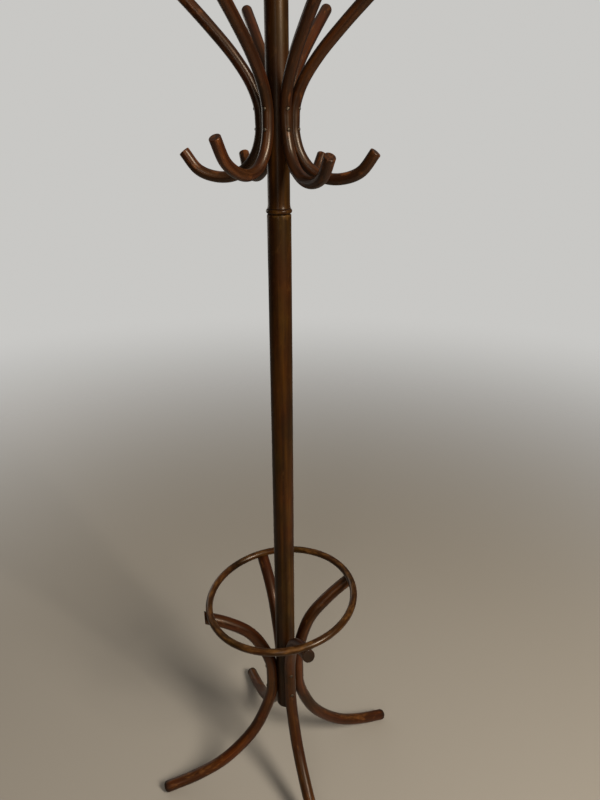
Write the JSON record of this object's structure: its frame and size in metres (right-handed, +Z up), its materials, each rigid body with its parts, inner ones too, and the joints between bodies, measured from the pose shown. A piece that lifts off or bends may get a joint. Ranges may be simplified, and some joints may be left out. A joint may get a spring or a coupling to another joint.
{
  "type": "coat stand",
  "caption": "Free-standing bentwood coat stand: a turned pole on splayed S-bent legs with an umbrella ring, and a revolving head of S-bent double hooks for coats and hats.",
  "frame": {"origin": "middle of the box around the whole stand, on the floor (z = 0 is the floor)", "axes": "+Z up along the pole; -Y is the front, the side facing the viewer; +X to the right of that viewer. The pole stands 20 mm from the origin because the legs are not all the same reach."},
  "size_m": [0.5998, 0.6274, 1.8803],
  "materials": {
    "pole_wood": "dark walnut-stained beech, semi-gloss lacquer",
    "hook_wood": "dark walnut-stained bent beech, semi-gloss lacquer, worn at the tips",
    "leg_wood": "reddish-brown stained bent beech, semi-gloss lacquer",
    "ring_wood": "lighter golden-brown stained bent beech, gloss lacquer",
    "screw_steel": "round-headed wood screws, dulled",
    "pivot_steel": "turned steel"
  },
  "bodies": {
    "stand": {"lower_pole": "pole_wood", "pivot_pin": "pivot_steel", "swivel_washer": "pivot_steel", "leg_1": "leg_wood", "leg_2": "leg_wood", "leg_3": "leg_wood", "leg_4": "leg_wood", "leg_1_screw_low": "screw_steel", "leg_1_screw_high": "screw_steel", "leg_2_screw_low": "screw_steel", "leg_2_screw_high": "screw_steel", "leg_3_screw_low": "screw_steel", "leg_3_screw_high": "screw_steel", "leg_4_screw_low": "screw_steel", "leg_4_screw_high": "screw_steel", "umbrella_ring": "ring_wood", "ring_screw_1": "screw_steel", "ring_screw_2": "screw_steel", "ring_screw_3": "screw_steel", "ring_screw_4": "screw_steel"},
    "head": {"upper_pole": "pole_wood", "finial": "pole_wood", "hook_1": "hook_wood", "hook_2": "hook_wood", "hook_3": "hook_wood", "hook_4": "hook_wood", "hook_5": "hook_wood", "hook_6": "hook_wood", "hook_1_screw_low": "screw_steel", "hook_1_screw_high": "screw_steel", "hook_2_screw_low": "screw_steel", "hook_2_screw_high": "screw_steel", "hook_3_screw_low": "screw_steel", "hook_3_screw_high": "screw_steel", "hook_4_screw_low": "screw_steel", "hook_4_screw_high": "screw_steel", "hook_5_screw_low": "screw_steel", "hook_5_screw_high": "screw_steel", "hook_6_screw_low": "screw_steel", "hook_6_screw_high": "screw_steel"}
  },
  "joints": [
    {"name": "head_swivel", "type": "hinge", "parent": "stand", "child": "head", "pos_m": [0.0175, -0.0091, 1.4413], "axis": [0, 0, 1], "continuous": true}
  ]
}
